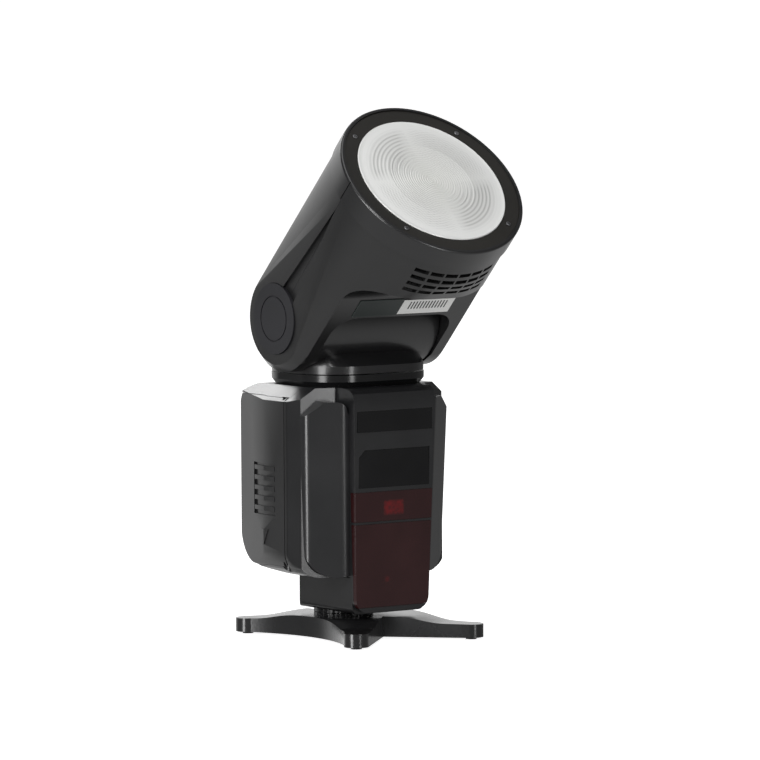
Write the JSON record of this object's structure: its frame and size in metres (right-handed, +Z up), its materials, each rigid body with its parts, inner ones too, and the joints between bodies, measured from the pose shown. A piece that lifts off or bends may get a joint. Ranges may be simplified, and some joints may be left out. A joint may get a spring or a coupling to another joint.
{
  "type": "speedlight flash",
  "caption": "Camera speedlight with a round tilting and swivelling head, control panel, battery door and shoe foot, seated on a small four-legged shoe stand.",
  "frame": {"origin": "on the resting plane, on the axis of the tripod socket under the shoe", "axes": "+Z up, the flash faces -Y, +X to the left hand of the flash as it faces you"},
  "size_m": [0.076, 0.1165, 0.2051],
  "materials": {
    "satin_black": "satin moulded",
    "gloss_black": "gloss moulded",
    "bezel_black": "fine matte",
    "lens_frosted": "frosted Fresnel",
    "steel": "satin",
    "reflector_metal": "bright",
    "tube_glass": "clear",
    "lamp_yellow": "phosphor",
    "copper": "lacquered winding",
    "label_dark": "printed film",
    "label_white": "paper film",
    "dark_metal": "satin",
    "detent_brass": "machined",
    "red_window": "translucent dark red",
    "lamp_red": "red lens",
    "sensor_dark": "dark sensor",
    "circuit_green": "solder mask",
    "capacitor_blue": "sleeved can",
    "battery_grey": "moulded",
    "contact_brass": "plated",
    "screen_grey": "unlit screen",
    "key_grey": "silicone",
    "dial_black": "satin",
    "rubber_black": "matte",
    "stand_black": "sparked semi-gloss"
  },
  "bodies": {
    "stand": {"stand_base": "stand_black", "tripod_insert": "contact_brass", "stand_feet": "rubber_black"},
    "flash_body": {"front_casing": "satin_black", "rear_casing": "satin_black", "foot_block": "satin_black", "swivel_collar": "gloss_black", "name_plate": "gloss_black", "front_window": "gloss_black", "red_window_upper": "red_window", "red_window_lower": "red_window", "focus_lamp": "lamp_red", "infrared_sensor": "sensor_dark", "main_board": "circuit_green", "main_capacitor": "capacitor_blue", "battery_pack": "battery_grey", "battery_contacts": "contact_brass", "case_screws": "steel", "socket_block": "gloss_black", "control_panel": "gloss_black", "display_bezel": "gloss_black", "display_screen": "screen_grey", "shoe_foot": "steel", "contact_pins": "contact_brass"},
    "neck": {"neck_housing": "satin_black", "tilt_axle": "steel", "detent_wheel": "detent_brass", "detent_spring": "steel", "swivel_post": "dark_metal", "swivel_retainer": "steel"},
    "head": {"head_upper_shell": "satin_black", "head_lower_shell": "satin_black", "front_ring": "satin_black", "lens_bezel": "bezel_black", "fresnel_lens": "lens_frosted", "bezel_screws": "steel", "reflector": "reflector_metal", "flash_tube": "tube_glass", "modelling_lamp": "lamp_yellow", "magnet_ring": "steel", "trigger_coil": "copper", "pivot_cap_left": "satin_black", "pivot_cap_right": "satin_black", "rating_plate": "label_dark", "blank_sticker": "label_white"},
    "function_key_1": {"function_button_1": "key_grey"},
    "function_key_2": {"function_button_2": "key_grey"},
    "function_key_3": {"function_button_3": "key_grey"},
    "function_key_4": {"function_button_4": "key_grey"},
    "mode_key": {"mode_button": "key_grey"},
    "menu_key": {"menu_button": "key_grey"},
    "test_key": {"test_button": "key_grey"},
    "set_key": {"set_button": "key_grey"},
    "dial": {"control_dial": "dial_black"},
    "power_slider": {"power_switch": "key_grey"},
    "lock_wheel": {"lock_ring": "dial_black"},
    "door_carrier": {"door_hinge_pin": "steel"},
    "door_leaf": {"battery_door": "satin_black"},
    "port_flap": {"port_cover": "rubber_black"}
  },
  "joints": [
    {"name": "shoe_slide", "type": "slide", "parent": "stand", "child": "flash_body", "axis": [0, 1, 0], "range_m": [0, 0.022]},
    {"name": "head_swivel", "type": "hinge", "parent": "flash_body", "child": "neck", "pos_m": [0, -0.004, 0.1029], "axis": [0, 0, 1], "range_deg": [-180, 150]},
    {"name": "head_tilt", "type": "hinge", "parent": "neck", "child": "head", "pos_m": [0, -0.007, 0.1244], "axis": [-1, 0, 0], "range_deg": [-45, 75]},
    {"name": "function_press_1", "type": "slide", "parent": "flash_body", "child": "function_key_1", "axis": [0, -1, 0], "range_m": [0, 0.0006], "stiffness_N_per_m": 900, "springref_m": -0.0003},
    {"name": "function_press_2", "type": "slide", "parent": "flash_body", "child": "function_key_2", "axis": [0, -1, 0], "range_m": [0, 0.0006], "stiffness_N_per_m": 900, "springref_m": -0.0003},
    {"name": "function_press_3", "type": "slide", "parent": "flash_body", "child": "function_key_3", "axis": [0, -1, 0], "range_m": [0, 0.0006], "stiffness_N_per_m": 900, "springref_m": -0.0003},
    {"name": "function_press_4", "type": "slide", "parent": "flash_body", "child": "function_key_4", "axis": [0, -1, 0], "range_m": [0, 0.0006], "stiffness_N_per_m": 900, "springref_m": -0.0003},
    {"name": "mode_press", "type": "slide", "parent": "flash_body", "child": "mode_key", "axis": [0, -1, 0], "range_m": [0, 0.0006], "stiffness_N_per_m": 900, "springref_m": -0.0003},
    {"name": "menu_press", "type": "slide", "parent": "flash_body", "child": "menu_key", "axis": [0, -1, 0], "range_m": [0, 0.0006], "stiffness_N_per_m": 900, "springref_m": -0.0003},
    {"name": "test_press", "type": "slide", "parent": "flash_body", "child": "test_key", "axis": [0, -1, 0], "range_m": [0, 0.0006], "stiffness_N_per_m": 900, "springref_m": -0.0003},
    {"name": "set_press", "type": "slide", "parent": "flash_body", "child": "set_key", "axis": [0, -1, 0], "range_m": [0, 0.0006], "stiffness_N_per_m": 900, "springref_m": -0.0003},
    {"name": "dial_turn", "type": "hinge", "parent": "flash_body", "child": "dial", "pos_m": [0, 0.0275, 0.0475], "axis": [0, 1, 0], "continuous": true},
    {"name": "power_slide", "type": "slide", "parent": "flash_body", "child": "power_slider", "axis": [1, 0, 0], "range_m": [0, 0.0036]},
    {"name": "lock_turn", "type": "hinge", "parent": "flash_body", "child": "lock_wheel", "pos_m": [0, 0, 0.0098], "axis": [0, 0, 1], "range_deg": [0, 90]},
    {"name": "door_slide", "type": "slide", "parent": "flash_body", "child": "door_carrier", "axis": [0, 0, -1], "range_m": [0, 0.008]},
    {"name": "door_swing", "type": "hinge", "parent": "door_carrier", "child": "door_leaf", "pos_m": [-0.0334, -0.0096, 0.058], "axis": [0, 0, 1], "range_deg": [0, 95]},
    {"name": "flap_swing", "type": "hinge", "parent": "flash_body", "child": "port_flap", "pos_m": [0.03425, -0.00905, 0.068], "axis": [0, 0, -1], "range_deg": [0, 90], "stiffness_Nm_per_rad": 0.002}
  ]
}
